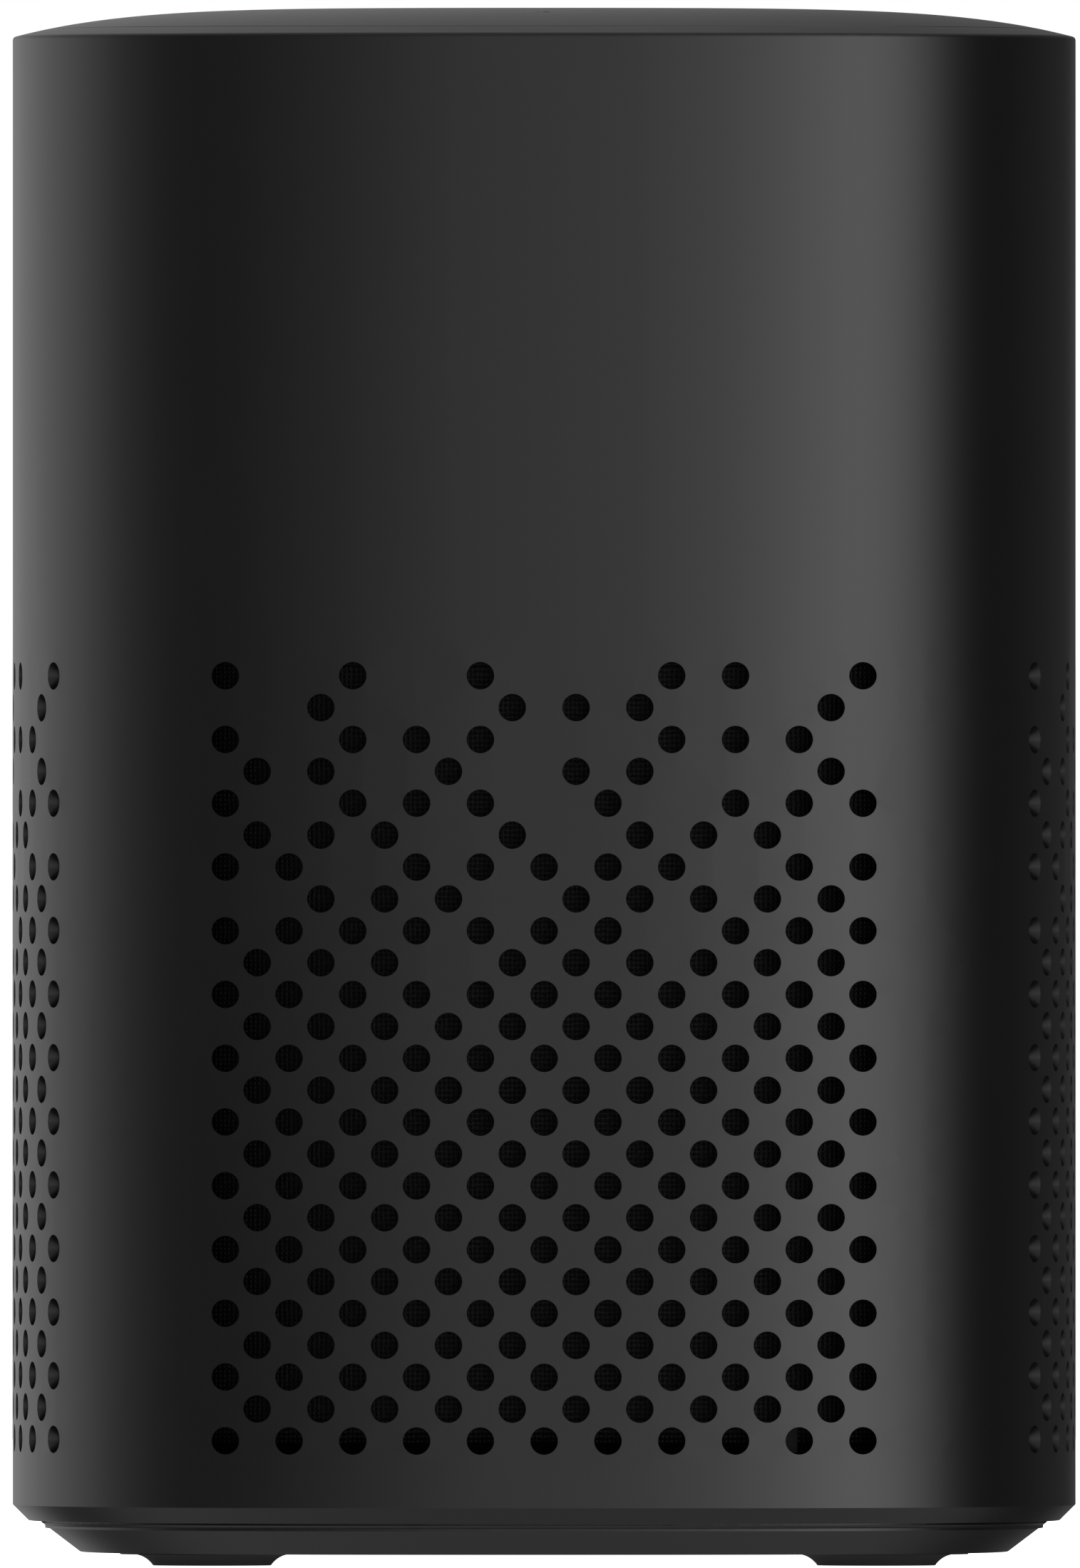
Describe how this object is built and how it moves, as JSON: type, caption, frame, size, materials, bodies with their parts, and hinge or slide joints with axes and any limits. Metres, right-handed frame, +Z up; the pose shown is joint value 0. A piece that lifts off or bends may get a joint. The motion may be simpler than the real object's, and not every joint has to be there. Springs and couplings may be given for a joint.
{
  "type": "smart home hub",
  "caption": "Tabletop smart home hub with a speaker: tall rounded-square matte body, perforated sides that thin out upwards, slightly domed top with four flush keys, and rubber feet.",
  "frame": {"origin": "middle of the body on the plane that the rubber feet stand on", "axes": "+Z up, -Y is the front face, +Y is the rear face with the power inlet, +X is to the right seen from the front"},
  "size_m": [0.095, 0.095, 0.1389],
  "materials": {
    "shell_plastic": "fine-grained matte black, lets infrared through",
    "cover_plastic": "fine-grained matte black",
    "base_plastic": "smooth matte black",
    "key_plastic": "fine-grained matte black with engraved icons",
    "frame_plastic": "dark moulded plastic",
    "cone_plastic": "smooth dark plastic",
    "chamber_plastic": "glass-filled dark plastic",
    "switch_plastic": "black switch body",
    "plunger_plastic": "ivory plunger",
    "connector_plastic": "off-white housing",
    "board": "dark green solder mask",
    "radio_board": "blue board under a metal can",
    "antenna_board": "bare board with copper track",
    "can_metal": "tin-plated can",
    "sink_metal": "extruded aluminium",
    "pad_rubber": "soft grey pad",
    "gasket_foam": "soft black seal",
    "capacitor_metal": "aluminium can on a black base",
    "mic_metal": "gold-plated can",
    "lamp_plastic": "white lamp body",
    "pipe_plastic": "clear light guide",
    "ir_plastic": "dark tinted lamp",
    "cable_plastic": "white flat cable",
    "lead_plastic": "black insulated wire",
    "screw_steel": "black zinc screws",
    "basket_steel": "black painted steel",
    "plate_steel": "zinc-plated steel",
    "magnet": "ferrite ring",
    "paper_cone": "black coated paper",
    "former_metal": "thin coil tube",
    "winding_copper": "lacquered copper wire",
    "surround_rubber": "soft black rubber",
    "spider_cloth": "resin-dipped cloth",
    "terminal_board": "brown terminal strip",
    "cloth": "black knitted acoustic cloth",
    "foot_rubber": "matte black rubber",
    "jack_plastic": "black socket body",
    "pin_metal": "nickel-plated pin"
  },
  "bodies": {
    "hub": {"shell": "shell_plastic", "top_cover": "cover_plastic", "base_cover": "base_plastic", "grille_frame": "frame_plastic", "deflector_cone": "cone_plastic", "chamber_body": "chamber_plastic", "chamber_lid": "chamber_plastic", "tact_switches": "switch_plastic", "power_connector": "connector_plastic", "speaker_connector": "connector_plastic", "ribbon_connectors": "connector_plastic", "main_board": "board", "top_board": "board", "radio_module": "radio_board", "side_antennas": "antenna_board", "processor_shield": "can_metal", "heat_sink": "sink_metal", "thermal_pad": "pad_rubber", "lid_gasket": "gasket_foam", "driver_gasket": "gasket_foam", "lead_grommet": "gasket_foam", "mic_boots": "gasket_foam", "capacitors": "capacitor_metal", "microphones": "mic_metal", "status_led": "lamp_plastic", "light_pipe": "pipe_plastic", "ir_emitters": "ir_plastic", "ribbon_cable": "cable_plastic", "power_lead": "lead_plastic", "speaker_lead": "lead_plastic", "top_board_screws": "screw_steel", "board_screws": "screw_steel", "lid_screws": "screw_steel", "chamber_screws": "screw_steel", "driver_screws": "screw_steel", "cone_screws": "screw_steel", "base_screws": "screw_steel", "driver_basket": "basket_steel", "front_plate": "plate_steel", "driver_yoke": "plate_steel", "driver_magnet": "magnet", "surround": "surround_rubber", "spider": "spider_cloth", "driver_terminals": "terminal_board", "grille_cloth": "cloth", "rubber_feet": "foot_rubber", "dc_jack": "jack_plastic", "jack_pin": "pin_metal"},
    "play_key": {"key_play": "key_plastic", "plunger_play": "plunger_plastic"},
    "minus_key": {"key_minus": "key_plastic", "plunger_minus": "plunger_plastic"},
    "plus_key": {"key_plus": "key_plastic", "plunger_plus": "plunger_plastic"},
    "mute_key": {"key_mute": "key_plastic", "plunger_mute": "plunger_plastic"},
    "diaphragm": {"speaker_cone": "paper_cone", "dust_cap": "paper_cone", "coil_former": "former_metal", "voice_coil": "winding_copper"}
  },
  "joints": [
    {"name": "play_press", "type": "slide", "parent": "hub", "child": "play_key", "axis": [0, 0, -1], "range_m": [0, 0.0003], "stiffness_N_per_m": 1500, "springref_m": -0.0006},
    {"name": "minus_press", "type": "slide", "parent": "hub", "child": "minus_key", "axis": [0, 0, -1], "range_m": [0, 0.0003], "stiffness_N_per_m": 1500, "springref_m": -0.0006},
    {"name": "plus_press", "type": "slide", "parent": "hub", "child": "plus_key", "axis": [0, 0, -1], "range_m": [0, 0.0003], "stiffness_N_per_m": 1500, "springref_m": -0.0006},
    {"name": "mute_press", "type": "slide", "parent": "hub", "child": "mute_key", "axis": [0, 0, -1], "range_m": [0, 0.0003], "stiffness_N_per_m": 1500, "springref_m": -0.0006},
    {"name": "cone_travel", "type": "slide", "parent": "hub", "child": "diaphragm", "axis": [0, 0, 1], "range_m": [-0.0015, 0.0015], "stiffness_N_per_m": 1000, "deforming": ["surround", "spider"]}
  ]
}
